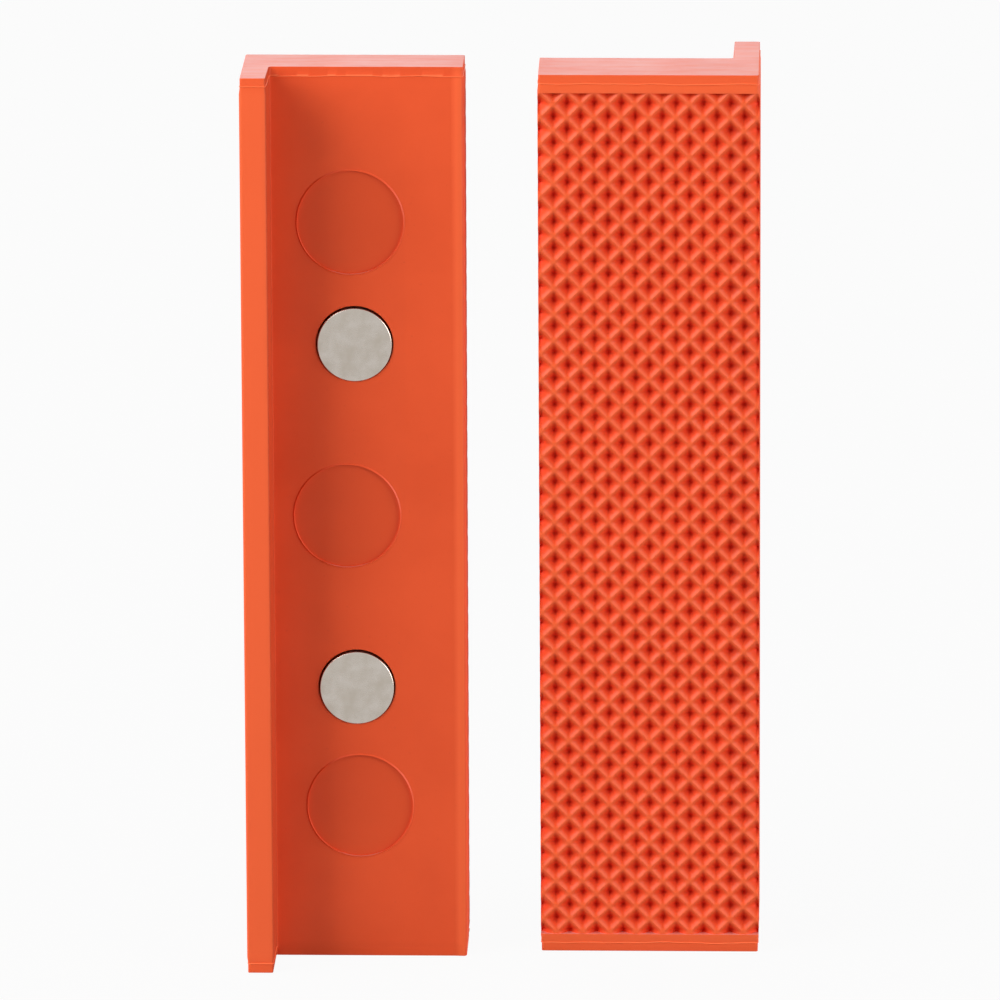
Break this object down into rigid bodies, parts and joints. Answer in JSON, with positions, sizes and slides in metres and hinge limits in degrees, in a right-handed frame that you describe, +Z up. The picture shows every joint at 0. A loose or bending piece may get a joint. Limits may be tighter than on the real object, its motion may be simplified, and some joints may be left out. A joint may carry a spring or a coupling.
{
  "type": "magnetic vise jaw pads",
  "caption": "Soft jaw pads for a bench vise: L-section orange elastomer with an overhanging lip, a diamond waffle grip face and disc magnets bonded into the back.",
  "frame": {"origin": "on the surface that both pads stand on, midway between them", "axes": "+X from the left pad to the right pad, +Y away from the viewer, on the side of the right pad's back, +Z up; each pad leans 1.2 degrees from +Z, towards its gripping face, because its moulded ends are drafted"},
  "size_m": [0.084, 0.033, 0.1506],
  "materials": {
    "pad_elastomer": "semi-gloss moulded orange",
    "magnet_nickel": "satin nickel plate",
    "adhesive": "cured adhesive"
  },
  "bodies": {
    "left_pad": {"left_jaw_pad": "pad_elastomer", "left_upper_magnet": "magnet_nickel", "left_lower_magnet": "magnet_nickel", "left_upper_adhesive": "adhesive", "left_lower_adhesive": "adhesive"},
    "right_pad": {"right_jaw_pad": "pad_elastomer", "right_upper_magnet": "magnet_nickel", "right_lower_magnet": "magnet_nickel", "right_upper_adhesive": "adhesive", "right_lower_adhesive": "adhesive"}
  },
  "joints": [
    {"name": "pad_spacing", "type": "slide", "parent": "left_pad", "child": "right_pad", "axis": [1, 0, 0], "range_m": [-0.011, 0.1]}
  ]
}
